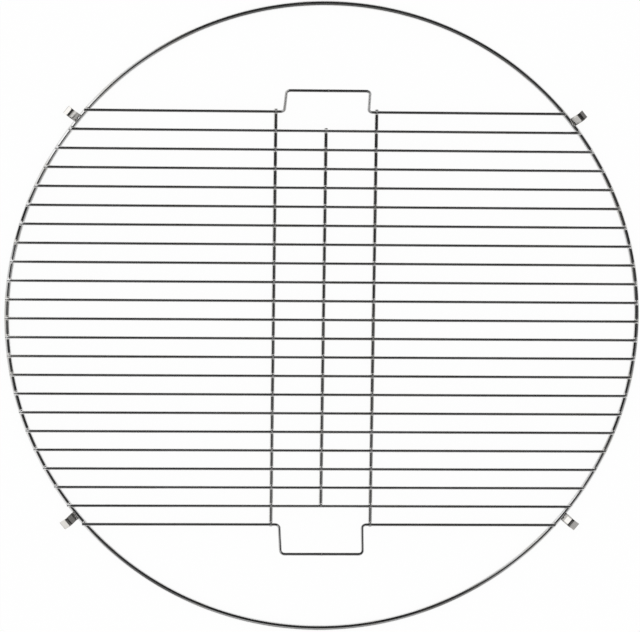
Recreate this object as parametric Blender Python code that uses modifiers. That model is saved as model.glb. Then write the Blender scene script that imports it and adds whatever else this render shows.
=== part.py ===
"""Round fire pit grill: a welded wire grate with two bent-up handles and four rim hooks.

All lengths are in metres. The ring rests on Z = 0 with its middle over the origin. The cross wires
run along X, the stringers run along Y, and the back handle is at +Y.
"""
import math

import bmesh
import bpy
from mathutils import Vector

# Outer ring, measured to the middle of its wire
RING_RADIUS = 0.3150
RING_WIRE = 0.0050

# Cross wires: one layer across the ring, the first and the last bent into handles, with room left
# for logs between each of these two and the ring
CROSS_WIRE = 0.0030
CROSS_COUNT = 23
END_ROW_TO_RING = 0.1071
CROSS_PAST_RING_LEFT = 0.0022
CROSS_PAST_RING_RIGHT = 0.0008

# Stringers: the thicker wires below, level with the top of the ring
STRINGER_WIRE = 0.0040
STRINGER_SPACING = 0.0500
STRINGER_PAST_WIRE = 0.0026

# Handles: each loop's feet stand inside the outer stringers. Both have legs of one length, and the
# back loop is bent up more than the front loop
HANDLE_FOOT_INSET = 0.0082
HANDLE_LEG_LENGTH = 0.0340
HANDLE_LEG_LEAN = 0.0007
BACK_HANDLE_SLOPE = math.radians(47.4)
FRONT_HANDLE_SLOPE = math.radians(41.2)
HANDLE_BEND_RADIUS = 0.0042

# Rim hooks: flat strip, butted on the ring, up to a crest and down again to a lip
HOOK_WIDTH = 0.0088
HOOK_THICKNESS = 0.0014
HOOK_FOOT_SLOPE = math.radians(30.0)
HOOK_FOOT_LENGTH = 0.0030
HOOK_RISE_SLOPE = math.radians(42.0)
HOOK_RISE_LENGTH = 0.0059
HOOK_CREST_LENGTH = 0.0026
HOOK_BEND_RADIUS = 0.0014

# The lips differ: the back pair is bent down more than the front pair
BACK_LIP_LENGTH = 0.0046
BACK_LIP_SLOPE = math.radians(38.0)
FRONT_LIP_LENGTH = 0.0072
FRONT_LIP_SLOPE = math.radians(30.0)

# Room left between two pieces that are welded where they meet
WELD_GAP = 0.0003

# Facets
RING_SEGMENTS = 120
WIRE_SIDES = 12
BEND_STEP = math.radians(14.0)

# Distance from one cross wire to the next
CROSS_PITCH = 2 * (RING_RADIUS - END_ROW_TO_RING) / (CROSS_COUNT - 1)

# Heights of the middles of the wires
RING_HEIGHT = RING_WIRE / 2
STRINGER_HEIGHT = RING_WIRE - STRINGER_WIRE / 2
CROSS_HEIGHT = RING_WIRE + WELD_GAP + CROSS_WIRE / 2


def clear_scene():
    """Remove every object, so that the model starts from nothing."""
    for old in list(bpy.data.objects):
        bpy.data.objects.remove(old, do_unlink=True)


def plated_steel(name, colour, roughness):
    """Return a polished, plated steel."""
    material = bpy.data.materials.new(name)
    material.use_nodes = True
    shader = material.node_tree.nodes["Principled BSDF"]
    shader.inputs["Base Color"].default_value = (*colour, 1.0)
    shader.inputs["Metallic"].default_value = 1.0
    shader.inputs["Roughness"].default_value = roughness
    material.diffuse_color = (*colour, 1.0)
    return material


def add_to_model(piece, material, collection, parent):
    """Give a piece its material, its collection and its parent."""
    for other in list(piece.users_collection):
        other.objects.unlink(piece)
    collection.objects.link(piece)
    piece.data.materials.append(material)
    piece.parent = parent
    return piece


def rounded_path(corners, radius):
    """Return the points of a bent wire: straight runs joined by arcs of one radius."""
    points = [corners[0]]
    for before, corner, after in zip(corners, corners[1:], corners[2:]):
        along = (corner - before).normalized()
        onward = (after - corner).normalized()
        turn = along.angle(onward)
        start = corner - along * radius * math.tan(turn / 2)
        inward = (onward - along * along.dot(onward)).normalized()
        centre = start + inward * radius
        steps = math.ceil(turn / BEND_STEP)
        for step in range(steps + 1):
            angle = turn * step / steps
            offset = along * math.sin(angle) - inward * math.cos(angle)
            points.append(centre + offset * radius)
    points.append(corners[-1])
    return points


def make_wire(name, points, diameter):
    """Return a round wire along the points."""
    curve = bpy.data.curves.new(name, "CURVE")
    curve.dimensions = "3D"
    curve.bevel_depth = diameter / 2
    curve.bevel_resolution = WIRE_SIDES // 2 - 2
    curve.use_fill_caps = True
    spline = curve.splines.new("POLY")
    spline.points.add(len(points) - 1)
    for target, point in zip(spline.points, points):
        target.co = (*point, 1.0)
    spline.use_smooth = True
    return bpy.data.objects.new(name, curve)


def make_ring():
    """Return the outer ring, whose butt weld leaves it one closed hoop."""
    bpy.ops.mesh.primitive_torus_add(
        major_radius=RING_RADIUS,
        minor_radius=RING_WIRE / 2,
        major_segments=RING_SEGMENTS,
        minor_segments=WIRE_SIDES,
        location=(0.0, 0.0, RING_HEIGHT),
    )
    ring = bpy.context.object
    ring.name = "outer_ring"
    ring.data.shade_smooth()
    return ring


def row_y(row):
    """Return the Y of a cross wire, counted from 1 at the back."""
    return ((CROSS_COUNT + 1) / 2 - row) * CROSS_PITCH


def row_ends(row):
    """Return the left and right X of a cross wire, which follow the ring."""
    left = math.sqrt((RING_RADIUS + CROSS_PAST_RING_LEFT) ** 2 - row_y(row) ** 2)
    right = math.sqrt((RING_RADIUS + CROSS_PAST_RING_RIGHT) ** 2 - row_y(row) ** 2)
    return -left, right


def make_cross_wire(row):
    """Return a straight cross wire."""
    left, right = row_ends(row)
    ends = [Vector((x, row_y(row), CROSS_HEIGHT)) for x in (left, right)]
    return make_wire(f"cross_wire_{row:02d}", ends, CROSS_WIRE)


def make_handle_wire(name, row, slope):
    """Return an end cross wire, bent outward and up into a handle between the outer stringers."""
    outward = math.copysign(1.0, row_y(row))
    left, right = row_ends(row)
    foot = STRINGER_SPACING - HANDLE_FOOT_INSET
    grip = foot - HANDLE_LEG_LEAN
    grip_y = row_y(row) + outward * HANDLE_LEG_LENGTH * math.cos(slope)
    grip_z = CROSS_HEIGHT + HANDLE_LEG_LENGTH * math.sin(slope)
    corners = [
        Vector((left, row_y(row), CROSS_HEIGHT)),
        Vector((-foot, row_y(row), CROSS_HEIGHT)),
        Vector((-grip, grip_y, grip_z)),
        Vector((grip, grip_y, grip_z)),
        Vector((foot, row_y(row), CROSS_HEIGHT)),
        Vector((right, row_y(row), CROSS_HEIGHT)),
    ]
    return make_wire(name, rounded_path(corners, HANDLE_BEND_RADIUS), CROSS_WIRE)


def make_stringer(name, x, first_row, past_first, past_last):
    """Return a stringer from one row to the same row counted from the front."""
    last_row = CROSS_COUNT + 1 - first_row
    back = Vector((x, row_y(first_row) + past_first, STRINGER_HEIGHT))
    front = Vector((x, row_y(last_row) - past_last, STRINGER_HEIGHT))
    return make_wire(name, [front, back], STRINGER_WIRE)


def hook_profile(lip_length, lip_slope):
    """Return the middle line of a hook's strip: outward along X, up along Z, ring wire at zero."""
    foot_way = Vector((math.cos(HOOK_FOOT_SLOPE), 0.0, math.sin(HOOK_FOOT_SLOPE)))
    rise_way = Vector((math.cos(HOOK_RISE_SLOPE), 0.0, math.sin(HOOK_RISE_SLOPE)))
    lip_way = Vector((math.cos(lip_slope), 0.0, -math.sin(lip_slope)))
    start = foot_way * (RING_WIRE / 2 + WELD_GAP)
    knee = start + foot_way * HOOK_FOOT_LENGTH
    crest_in = knee + rise_way * HOOK_RISE_LENGTH
    crest_out = crest_in + Vector((HOOK_CREST_LENGTH, 0.0, 0.0))
    tip = crest_out + lip_way * lip_length
    return rounded_path([start, knee, crest_in, crest_out, tip], HOOK_BEND_RADIUS)


def hook_angle():
    """Return the angle from the X axis of a hook set midway between the first two rows."""
    return math.asin((row_y(1) + row_y(2)) / 2 / RING_RADIUS)


def make_hook(name, angle, lip_length, lip_slope):
    """Return a bent strip that stands outward from the ring at an angle."""
    shape = bmesh.new()
    rows = []
    for point in hook_profile(lip_length, lip_slope):
        sides = (-HOOK_WIDTH / 2, HOOK_WIDTH / 2)
        rows.append([shape.verts.new((point.x, side, point.z)) for side in sides])
    for (a, b), (c, d) in zip(rows, rows[1:]):
        shape.faces.new((a, c, d, b))
    mesh = bpy.data.meshes.new(name)
    shape.to_mesh(mesh)
    shape.free()
    hook = bpy.data.objects.new(name, mesh)
    hook.location = (RING_RADIUS * math.cos(angle), RING_RADIUS * math.sin(angle), RING_HEIGHT)
    hook.rotation_euler.z = angle
    thicken = hook.modifiers.new("strip thickness", "SOLIDIFY")
    thicken.thickness = HOOK_THICKNESS
    thicken.offset = 0.0
    thicken.use_even_offset = True
    return hook


def build():
    """Model the grill."""
    clear_scene()
    grill = bpy.data.collections.new("fire_pit_grill")
    bpy.context.scene.collection.children.link(grill)
    base = bpy.data.objects.new("grill_base", None)
    grill.objects.link(base)

    ring_steel = plated_steel("ring_steel", (0.80, 0.80, 0.80), 0.12)
    cross_steel = plated_steel("cross_wire_steel", (0.80, 0.80, 0.80), 0.12)
    handle_steel = plated_steel("handle_steel", (0.62, 0.62, 0.62), 0.12)
    stringer_steel = plated_steel("stringer_steel", (0.78, 0.78, 0.77), 0.14)
    hook_steel = plated_steel("hook_steel", (0.82, 0.80, 0.77), 0.20)

    add_to_model(make_ring(), ring_steel, grill, base)

    handles = [
        make_handle_wire("handle_wire_back", 1, BACK_HANDLE_SLOPE),
        make_handle_wire("handle_wire_front", CROSS_COUNT, FRONT_HANDLE_SLOPE),
    ]
    for handle in handles:
        add_to_model(handle, handle_steel, grill, base)
    for row in range(2, CROSS_COUNT):
        add_to_model(make_cross_wire(row), cross_steel, grill, base)

    past = STRINGER_PAST_WIRE
    stringers = [
        make_stringer("stringer_left", -STRINGER_SPACING, 1, past, past),
        make_stringer("stringer_centre", 0.0, 2, past, CROSS_WIRE / 2),
        make_stringer("stringer_right", STRINGER_SPACING, 1, past, past),
    ]
    for stringer in stringers:
        add_to_model(stringer, stringer_steel, grill, base)

    turn = hook_angle()
    hooks = [
        make_hook("rim_hook_back_right", turn, BACK_LIP_LENGTH, BACK_LIP_SLOPE),
        make_hook("rim_hook_back_left", math.pi - turn, BACK_LIP_LENGTH, BACK_LIP_SLOPE),
        make_hook("rim_hook_front_left", math.pi + turn, FRONT_LIP_LENGTH, FRONT_LIP_SLOPE),
        make_hook("rim_hook_front_right", -turn, FRONT_LIP_LENGTH, FRONT_LIP_SLOPE),
    ]
    for hook in hooks:
        add_to_model(hook, hook_steel, grill, base)


build()
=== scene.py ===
"""Dressed model of a round fire pit grill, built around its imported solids.

Everything is in metres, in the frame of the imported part: the ring lies on Z = 0 round the origin, the
cross wires run along X, the stringers along Y, and the back handle is at +Y. Every wire is modelled
again with round sides, eased ends and its welds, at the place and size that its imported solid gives.
"""
import logging
import math
import random
from collections.abc import Callable, Sequence
from dataclasses import dataclass
from enum import Enum

import bmesh
import bpy
from mathutils import Matrix, Vector


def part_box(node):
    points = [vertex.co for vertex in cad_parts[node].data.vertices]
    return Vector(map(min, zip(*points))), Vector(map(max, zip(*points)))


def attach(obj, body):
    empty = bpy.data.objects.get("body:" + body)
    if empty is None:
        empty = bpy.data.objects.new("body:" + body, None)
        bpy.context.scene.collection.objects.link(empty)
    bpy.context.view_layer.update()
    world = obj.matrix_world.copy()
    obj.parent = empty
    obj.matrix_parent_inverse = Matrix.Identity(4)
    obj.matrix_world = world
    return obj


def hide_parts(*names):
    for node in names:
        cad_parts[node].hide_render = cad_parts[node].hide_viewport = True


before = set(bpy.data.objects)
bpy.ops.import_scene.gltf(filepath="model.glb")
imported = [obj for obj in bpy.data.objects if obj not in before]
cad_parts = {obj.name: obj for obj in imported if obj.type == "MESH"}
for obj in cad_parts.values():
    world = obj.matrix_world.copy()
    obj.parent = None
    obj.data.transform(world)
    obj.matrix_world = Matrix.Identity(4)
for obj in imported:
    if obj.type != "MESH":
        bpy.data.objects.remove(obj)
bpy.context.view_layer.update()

LOG = logging.getLogger("fire_pit_grill")
BODY = "root"
WIRE_MAP = "unrolled"

# The straight run that is held beside a bend or an end, so that its shading stays there
HOLD = 0.0006

# Points closer than this are merged
SAME_POINT = 1e-6

# How far a point may lie from a place and still count as there
SLACK = 1e-5

# The shortest length that anything is divided by
SHORTEST = 1e-9

Piece = bpy.types.Object
Socket = bpy.types.NodeSocket
Colour = tuple[float, float, float]


class Part(Enum):
    """The parts of a mesh that can be picked in edit mode."""

    VERTS = "VERT"
    EDGES = "EDGE"


class Lie(Enum):
    """The turn that lays a wire, or a wire's cross-section, along one of the grill's axes."""

    ALONG_X = (0.0, math.pi / 2, 0.0)
    ALONG_Y = (math.pi / 2, 0.0, 0.0)


class Corner(Enum):
    """The four rim hooks, each with its node and the quarter of the ring that it stands in."""

    BACK_RIGHT = ("rim_hook_back_right", 1, 1)
    BACK_LEFT = ("rim_hook_back_left", -1, 1)
    FRONT_LEFT = ("rim_hook_front_left", -1, -1)
    FRONT_RIGHT = ("rim_hook_front_right", 1, -1)

    @property
    def node(self) -> str:
        """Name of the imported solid."""
        return self.value[0]

    @property
    def at_back(self) -> bool:
        """Whether the hook stands beside the back handle."""
        return self.value[2] > 0

    def bearing(self, lean: float) -> float:
        """Angle from +X of a hook whose own quarter holds it at the given lean from the X axis."""
        across, along = self.value[1:]
        return math.atan2(along * math.sin(lean), across * math.cos(lean))


# Modelling in edit mode


class Bench:
    """The operators that every sub-assembly is modelled with."""

    @staticmethod
    def clear() -> None:
        """Leave edit mode and deselect everything."""
        if bpy.context.mode != "OBJECT":
            bpy.ops.object.mode_set(mode="OBJECT")
        bpy.ops.object.select_all(action="DESELECT")

    @staticmethod
    def select(piece: Piece) -> None:
        """Leave edit mode and select one piece alone.

        Args:
            piece: The object, which also becomes the active one.
        """
        Bench.clear()
        piece.select_set(True)
        bpy.context.view_layer.objects.active = piece

    @staticmethod
    def open(piece: Piece) -> None:
        """Open one piece in edit mode with all of it selected.

        Args:
            piece: The object.
        """
        Bench.select(piece)
        bpy.ops.object.mode_set(mode="EDIT")
        bpy.ops.mesh.select_all(action="SELECT")

    @staticmethod
    def settle(piece: Piece) -> None:
        """Put the piece's place, turn and scale into its mesh."""
        Bench.select(piece)
        bpy.ops.object.transform_apply(location=True, rotation=True, scale=True)

    @staticmethod
    def start(name: str) -> Piece:
        """Name the primitive that was just added and put its place into its mesh.

        Args:
            name: The piece's name.

        Returns:
            The piece.
        """
        piece = bpy.context.object
        piece.name = name
        piece.data.name = name
        Bench.settle(piece)
        return piece

    @staticmethod
    def rod(name: str, sides: int, radius: float, length: float, middle: Vector, lie: Lie) -> Piece:
        """Add a closed cylinder, from which a straight wire is made.

        Args:
            name: The piece's name.
            sides: How many sides it has.
            radius: Its radius.
            length: Its length.
            middle: Its middle.
            lie: The axis that it lies along.

        Returns:
            The piece.
        """
        Bench.clear()
        bpy.ops.mesh.primitive_cylinder_add(
            vertices=sides, radius=radius, depth=length, location=middle, rotation=lie.value
        )
        return Bench.start(name)

    @staticmethod
    def section(name: str, sides: int, radius: float, middle: Vector, lie: Lie) -> Piece:
        """Add an open circle, the cross-section from which a bent wire is drawn.

        Args:
            name: The piece's name.
            sides: How many sides the wire will have.
            radius: The wire's radius.
            middle: The circle's middle.
            lie: The axis that the wire starts along.

        Returns:
            The piece.
        """
        Bench.clear()
        bpy.ops.mesh.primitive_circle_add(
            vertices=sides, radius=radius, fill_type="NOTHING", location=middle, rotation=lie.value
        )
        return Bench.start(name)

    @staticmethod
    def pick(piece: Piece, part: Part, test: Callable) -> None:
        """Select in edit mode what passes a test of its place or its faces.

        Args:
            piece: The object that is open in edit mode.
            part: Whether the test is put to vertices or edges.
            test: Takes a bmesh element and says whether it is picked.
        """
        bpy.ops.mesh.select_mode(type=part.value)
        bpy.ops.mesh.select_all(action="DESELECT")
        shape = bmesh.from_edit_mesh(piece.data)
        shape.normal_update()
        for element in shape.verts if part is Part.VERTS else shape.edges:
            if test(element):
                element.select_set(True)
        shape.select_flush_mode()
        bmesh.update_edit_mesh(piece.data)

    @staticmethod
    def pick_beyond(piece: Piece, normal: Vector, place: float) -> None:
        """Select in edit mode the vertices that lie beyond a place along a normal."""
        Bench.pick(piece, Part.VERTS, lambda vertex: vertex.co.dot(normal) > place + SLACK)

    @staticmethod
    def cut_across(normal: Vector, place: float) -> None:
        """Cut a ring of edges through all of the open piece, at a place along a normal."""
        bpy.ops.mesh.select_all(action="SELECT")
        bpy.ops.mesh.bisect(plane_co=normal * place, plane_no=normal)

    @staticmethod
    def finish_modifiers(piece: Piece) -> None:
        """Apply every modifier of a piece, in order.

        Args:
            piece: The object.
        """
        Bench.select(piece)
        for modifier in list(piece.modifiers):
            bpy.ops.object.modifier_apply(modifier=modifier.name)

    @staticmethod
    def smooth(piece: Piece, crease: float) -> None:
        """Shade the piece smooth, with edges sharper than the crease angle left hard."""
        Bench.select(piece)
        bpy.ops.object.shade_smooth_by_angle(angle=crease)

    @staticmethod
    def join(pieces: Sequence[Piece], name: str) -> Piece:
        """Join pieces into one object.

        Args:
            pieces: The objects.
            name: The joined object's name.

        Returns:
            The joined object.
        """
        Bench.clear()
        for piece in pieces:
            piece.select_set(True)
        bpy.context.view_layer.objects.active = pieces[0]
        bpy.ops.object.join()
        joined = bpy.context.object
        joined.name = name
        joined.data.name = name
        return joined


def at_bearing(bearing: float, reach: float, height: float) -> Vector:
    """Return the point at a bearing from +X, a reach from the Z axis and a height."""
    return Vector((reach * math.cos(bearing), reach * math.sin(bearing), height))


def unroll(piece: Piece, locate: Callable[[Vector], tuple[float, float]], girth: float) -> None:
    """Give a piece a UV map in metres: along it, and round or across it.

    Args:
        piece: The finished mesh.
        locate: Takes a point of the mesh and returns its length along and its distance round.
        girth: The distance once round, after which the second number starts again, or 0 for none.
    """
    layer = piece.data.uv_layers.new(name=WIRE_MAP)
    places = [locate(vertex.co) for vertex in piece.data.vertices]
    for polygon in piece.data.polygons:
        rounds = [places[index][1] for index in polygon.vertices]
        wraps = girth > 0 and max(rounds) - min(rounds) > girth / 2
        for loop, index in zip(polygon.loop_indices, polygon.vertices):
            along, side = places[index]
            if wraps and side < 0:
                side += girth
            layer.data[loop].uv = (along, side)


def locate_on(route: Sequence[Vector], point: Vector) -> tuple[float, float]:
    """Return how far along a middle line and round it a point lies.

    Args:
        route: The points of the middle line.
        point: A point on the wire's surface.

    Returns:
        The length along the line, and the distance round the wire from its top.
    """
    best = None
    travelled = 0.0
    for start, end in zip(route, route[1:]):
        stretch = end - start
        length = max(stretch.length, SHORTEST)
        share = min(1.0, max(0.0, (point - start).dot(stretch) / length ** 2))
        away = point - (start + stretch * share)
        if best is None or away.length < best[0]:
            best = (away.length, travelled + length * share, away, stretch / length)
        travelled += length
    distance, along, away, direction = best
    upward = (Vector((0.0, 0.0, 1.0)) - direction * direction.z).normalized()
    return along, math.atan2(away.dot(direction.cross(upward)), away.dot(upward)) * distance


def hand_over(piece: Piece, finish: "Finish", *nodes: str) -> Piece:
    """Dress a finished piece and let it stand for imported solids.

    Args:
        piece: The finished mesh, at the origin with its place in its mesh.
        finish: The finish that it gets.
        nodes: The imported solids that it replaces, or none if it is something more.

    Returns:
        The same piece.
    """
    piece.data.materials.clear()
    piece.data.materials.append(finish.material())
    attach(piece, BODY)
    if nodes:
        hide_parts(*nodes)
    return piece


def bend_along(corners: Sequence[Vector], radius: float, step: float) -> list[Vector]:
    """Extrude and spin the edges that are picked in edit mode along the corners of a middle line.

    Args:
        corners: The corners of the middle line.
        radius: The middle line's radius in the bends.
        step: The turn from one cut to the next in a bend.

    Returns:
        The middle line that was followed, with its arcs.
    """
    route = [corners[0].copy()]

    def draw_to(place: Vector) -> None:
        """Extrude the picked edges straight to a place."""
        bpy.ops.mesh.extrude_region_move(TRANSFORM_OT_translate={"value": place - route[-1]})
        route.append(place.copy())

    draw_to(corners[0] + (corners[1] - corners[0]).normalized() * HOLD)
    for before, corner, after in zip(corners, corners[1:], corners[2:]):
        along = (corner - before).normalized()
        onward = (after - corner).normalized()
        turn = along.angle(onward)
        start = corner - along * radius * math.tan(turn / 2)
        inward = (onward - along * along.dot(onward)).normalized()
        centre = start + inward * radius
        axis = along.cross(onward).normalized()
        steps = math.ceil(turn / step)
        draw_to(start - along * HOLD)
        draw_to(start)
        # An operator without a window spins the other way
        bpy.ops.mesh.spin(steps=steps, angle=-turn, center=centre, axis=axis)
        for count in range(1, steps + 1):
            angle = turn * count / steps
            route.append(centre + (along * math.sin(angle) - inward * math.cos(angle)) * radius)
        draw_to(route[-1] + onward * HOLD)
    draw_to(corners[-1] + (corners[-2] - corners[-1]).normalized() * HOLD)
    draw_to(corners[-1])
    return route


def ease_ends(wire: Piece, ease: float) -> None:
    """Round the rims of a wire's two cut faces, in edit mode.

    Args:
        wire: The wire, open in edit mode.
        ease: How far the rounding reaches from the rim.
    """
    # The cut faces alone have more than four corners
    caps = {face.index for face in bmesh.from_edit_mesh(wire.data).faces if len(face.verts) > 4}

    def on_rim(edge: bmesh.types.BMEdge) -> bool:
        """Say whether an edge lies between a cut face and the wire's side."""
        return sum(face.index in caps for face in edge.link_faces) == 1

    Bench.pick(wire, Part.EDGES, on_rim)
    bpy.ops.mesh.bevel(offset=ease, segments=2, affect="EDGES")


# Finishes


class NodeSheet:
    """Short-hand for wiring shader nodes."""

    def __init__(self, tree: bpy.types.NodeTree) -> None:
        """Keep the tree and empty it."""
        self.tree = tree
        tree.nodes.clear()

    def add(self, kind: str, inputs: dict | None = None, **settings: object) -> bpy.types.Node:
        """Add a node.

        Args:
            kind: The node's type name.
            inputs: Sockets by name or number, each with a constant or the socket that feeds it.
            settings: Attributes of the node itself.

        Returns:
            The new node.
        """
        node = self.tree.nodes.new(kind)
        for name, value in settings.items():
            setattr(node, name, value)
        for key, value in (inputs or {}).items():
            if isinstance(value, Socket):
                self.tree.links.new(value, node.inputs[key])
            else:
                node.inputs[key].default_value = value
        return node

    def math(self, operation: str, *values: object, clamp: bool = False) -> Socket:
        """Wire a Math node.

        Args:
            operation: What it does.
            values: The constants or sockets that it takes.
            clamp: Whether the result is kept between 0 and 1.

        Returns:
            The result.
        """
        node = self.add("ShaderNodeMath", dict(enumerate(values)), operation=operation)
        node.use_clamp = clamp
        return node.outputs[0]

    def product(self, first: Socket, *others: object) -> Socket:
        """Multiply a socket by sockets or constants, one after the other.

        Args:
            first: The socket.
            others: What it is multiplied by.

        Returns:
            The product.
        """
        for other in others:
            first = self.math("MULTIPLY", first, other)
        return first

    def step(self, value: Socket, low: float, high: float) -> Socket:
        """Wire a smooth step.

        Args:
            value: What it follows.
            low: The value at which it is 0.
            high: The value at which it is 1, which may be the lower of the two.

        Returns:
            The step, from 0 to 1.
        """
        inputs = {"Value": value, "From Min": low, "From Max": high}
        node = self.add("ShaderNodeMapRange", inputs, interpolation_type="SMOOTHSTEP")
        return node.outputs["Result"]

    def span(self, value: Socket, low: float, high: float) -> Socket:
        """Return low where the value is 0, high where it is 1, and evenly between."""
        inputs = {"Value": value, "To Min": low, "To Max": high}
        return self.add("ShaderNodeMapRange", inputs).outputs["Result"]

    def noise(self, place: Socket, sizes: Sequence[float], detail: float) -> Socket:
        """Wire a noise.

        Args:
            place: The coordinates that it reads, in metres.
            sizes: The size of its lumps along each axis.
            detail: How many finer layers it has.

        Returns:
            The noise, from 0 to 1.
        """
        scale = tuple(1 / size for size in sizes)
        spread = self.add("ShaderNodeMapping", {"Vector": place, "Scale": scale})
        inputs = {"Vector": spread.outputs[0], "Scale": 1.0, "Detail": detail}
        return self.add("ShaderNodeTexNoise", inputs).outputs[0]

    def mix(self, factor: Socket, first: object, second: object) -> Socket:
        """Return a colour between two colours."""
        node = self.add("ShaderNodeMix", {0: factor, 6: first, 7: second}, data_type="RGBA")
        return node.outputs[2]

    def bump(self, height: Socket, depth: float, below: Socket | None = None) -> Socket:
        """Wire a bump.

        Args:
            height: Its height, from 0 to 1.
            depth: What a height of 1 stands for, in metres.
            below: The normal that it lies on, or none for the mesh's own.

        Returns:
            The normal.
        """
        inputs = {"Height": height, "Distance": depth, "Strength": 1.0}
        if below is not None:
            inputs["Normal"] = below
        return self.add("ShaderNodeBump", inputs).outputs[0]


@dataclass(frozen=True)
class Finish:
    """A bright plated steel, as each piece wears it.

    Args:
        name: The material's name.
        slot: The record's material slot; not used.
        colour: Colour of the clean plate.
        haze_colour: Colour where the plate is smudged.
        polish: Roughness of the clean plate.
        haze: Roughness where it is smudged.
        line_depth: Depth of the drawing lines that run along the wire.
        ripple_depth: Depth of the soft ripple that plating leaves.
        ripple_size: Width of that ripple.
    """

    name: str
    slot: str
    colour: Colour
    haze_colour: Colour
    polish: float
    haze: float
    line_depth: float
    ripple_depth: float
    ripple_size: float

    LINE_WIDTH = 0.00022
    LINE_LENGTH = 0.030
    LINE_ROUGHNESS = 0.05
    SMUDGE_SIZE = 0.034
    SMUDGE_EDGE = (0.47, 0.68)
    PIT_SPACING = 0.0065
    PIT_RADIUS = 0.00028
    PIT_EDGE = (1.6, 0.6)
    PIT_ROUGHNESS = 0.3
    PIT_TINT = 0.6
    PIT_COLOUR = (0.16, 0.14, 0.12)

    def material(self) -> bpy.types.Material:
        """Return the material, made once and shared by every piece that wears it."""
        made = bpy.data.materials.get(self.name)
        return made if made is not None else self.make()

    def make(self) -> bpy.types.Material:
        """Wire the material's nodes.

        Returns:
            The new material.
        """
        material = bpy.data.materials.new(self.name)
        material.use_nodes = True
        sheet = NodeSheet(material.node_tree)
        place = sheet.add("ShaderNodeTexCoord").outputs["Object"]
        smudge = sheet.step(sheet.noise(place, [self.SMUDGE_SIZE] * 3, detail=4.0), *self.SMUDGE_EDGE)
        grain = self.grain(sheet, place)
        pits = self.pits(sheet, place)
        tint = sheet.mix(smudge, (*self.colour, 1.0), (*self.haze_colour, 1.0))
        tint = sheet.mix(sheet.product(pits, self.PIT_TINT), tint, (*self.PIT_COLOUR, 1.0))
        tint = self.shade(sheet, tint)
        rough = sheet.span(smudge, self.polish, self.haze)
        rough = sheet.math("ADD", rough, sheet.product(grain, self.LINE_ROUGHNESS))
        rough = sheet.math("ADD", rough, sheet.product(pits, self.PIT_ROUGHNESS))
        rough = sheet.math("ADD", rough, self.dull_spots(sheet, place))
        ripple = sheet.noise(place, [self.ripple_size] * 3, detail=1.0)
        normal = sheet.bump(ripple, self.ripple_depth)
        normal = sheet.bump(grain, self.line_depth, normal)
        inputs = {"Base Color": tint, "Metallic": 1.0, "Roughness": rough, "Normal": normal}
        shader = sheet.add("ShaderNodeBsdfPrincipled", inputs)
        sheet.add("ShaderNodeOutputMaterial", {"Surface": shader.outputs[0]})
        return material

    def dull_spots(self, sheet: NodeSheet, place: Socket) -> Socket | float:
        """Return the roughness that spots of wear add, here none."""
        return 0.0

    def shade(self, sheet: NodeSheet, tint: Socket) -> Socket:
        """Return the colour with its painted shade, here none."""
        return tint

    def grain(self, sheet: NodeSheet, place: Socket) -> Socket:
        """Return the drawing lines, which follow the piece's own unrolled map."""
        unrolled = sheet.add("ShaderNodeUVMap", uv_map=WIRE_MAP).outputs[0]
        return sheet.noise(unrolled, (self.LINE_LENGTH, self.LINE_WIDTH, 1.0), detail=2.0)

    def pits(self, sheet: NodeSheet, place: Socket) -> Socket:
        """Wire the few small pits of the plate.

        Args:
            sheet: The material's nodes.
            place: The piece's coordinates.

        Returns:
            1 in the pits and 0 elsewhere.
        """
        inputs = {"Vector": place, "Scale": 1 / self.PIT_SPACING}
        away = sheet.add("ShaderNodeTexVoronoi", inputs).outputs["Distance"]
        radius = self.PIT_RADIUS / self.PIT_SPACING
        return sheet.step(away, *(radius * share for share in self.PIT_EDGE))


@dataclass(frozen=True)
class WeldFinish(Finish):
    """Plated weld metal: lumpy and without drawing lines."""

    PEBBLE_SIZE = 0.00066

    def grain(self, sheet: NodeSheet, place: Socket) -> Socket:
        """Return the fine pebbling of the weld metal, the same in every direction."""
        return sheet.noise(place, [self.PEBBLE_SIZE] * 3, detail=3.0)


@dataclass(frozen=True)
class CrossingFinish(Finish):
    """Wire plate with the dull spots that the welding electrode leaves over each stringer."""

    SPACING = 0.05
    OUTERMOST = (0.066, 0.060)
    SPOT_RADIUS = 0.0009
    SPOT_EDGE = (1.3, 0.7)
    SPOT_ROUGHNESS = 0.5
    TOP = (0.0074, 0.0080)

    def dull_spots(self, sheet: NodeSheet, place: Socket) -> Socket | float:
        """Wire the electrode's spots, on top of the wire over the stringers.

        Args:
            sheet: The material's nodes.
            place: The piece's coordinates.

        Returns:
            The roughness that they add.
        """
        axes = sheet.add("ShaderNodeSeparateXYZ", {0: place}).outputs
        shifted = sheet.math("ADD", axes["X"], self.SPACING)
        folded = sheet.math("PINGPONG", shifted, self.SPACING / 2)
        spot = sheet.step(folded, *(self.SPOT_RADIUS * share for share in self.SPOT_EDGE))
        near = sheet.step(sheet.math("ABSOLUTE", axes["X"]), *self.OUTERMOST)
        top = sheet.step(axes["Z"], *self.TOP)
        return sheet.product(spot, near, top, self.SPOT_ROUGHNESS)


@dataclass(frozen=True)
class StripFinish(Finish):
    """Rolled strip with a dark line of painted shade at its sheared tip, from which its unrolled map
    counts.
    """

    TIP = 0.0005
    TIP_EDGE = (1.5, 0.7)
    TIP_COLOUR = (0.20, 0.18, 0.16)

    def shade(self, sheet: NodeSheet, tint: Socket) -> Socket:
        """Paint a dark line of shade along the sheared tip.

        Args:
            sheet: The material's nodes.
            tint: The colour elsewhere.

        Returns:
            The colour with the line.
        """
        unrolled = sheet.add("ShaderNodeUVMap", uv_map=WIRE_MAP).outputs[0]
        along = sheet.add("ShaderNodeSeparateXYZ", {0: unrolled}).outputs["X"]
        # Painted shade: the last half millimetre of the strip, at its tip, is darkened.
        tip_shade = sheet.step(along, *(self.TIP * share for share in self.TIP_EDGE))
        return sheet.mix(tip_shade, tint, (*self.TIP_COLOUR, 1.0))


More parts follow.
